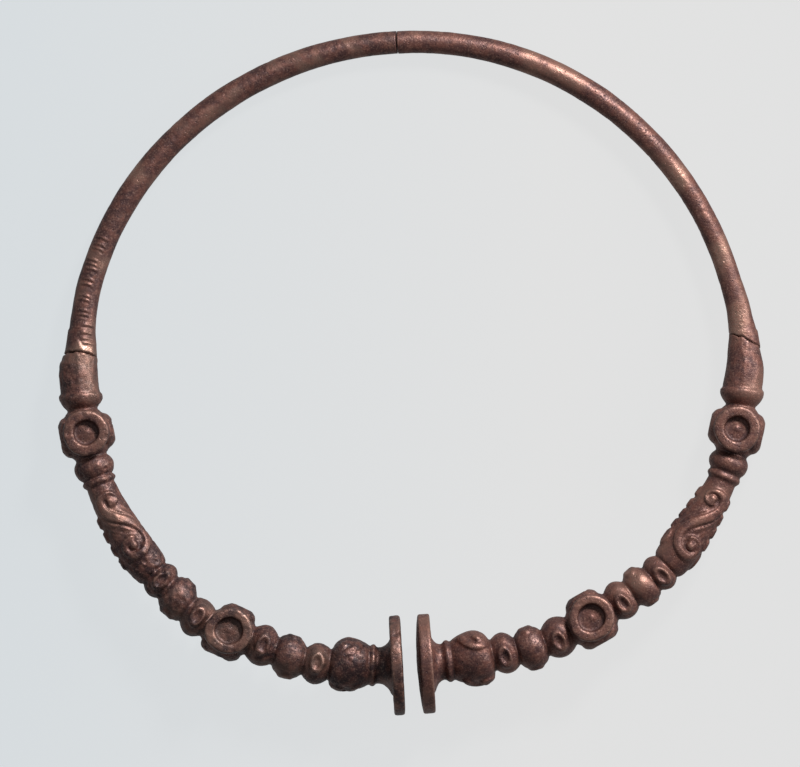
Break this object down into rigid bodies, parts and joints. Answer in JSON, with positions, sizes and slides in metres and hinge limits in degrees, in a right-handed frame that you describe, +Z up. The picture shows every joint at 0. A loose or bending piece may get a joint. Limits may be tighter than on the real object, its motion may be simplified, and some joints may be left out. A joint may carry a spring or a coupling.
{
  "type": "neck ring",
  "caption": "Cast bronze open neck ring with bead-moulded, scroll-carved arms, round cup settings and facing disc terminals.",
  "frame": {"origin": "on the resting surface, under the middle of the ring's box", "axes": "+X across the ring to the right arm, +Y from the disc terminals to the back of the hoop, +Z up from the resting surface"},
  "size_m": [0.1508, 0.1454, 0.0211],
  "materials": {
    "cast_bronze": "old cast bronze with a dark red-brown patina, fine pitting and worn glossy crests",
    "hoop_bronze": "old bronze rod with a red-brown patina, rubbed brighter along its top"
  },
  "bodies": {
    "root": {"hoop_left": "hoop_bronze", "hoop_right": "hoop_bronze", "terminal_left": "cast_bronze", "terminal_right": "cast_bronze"}
  },
  "joints": []
}
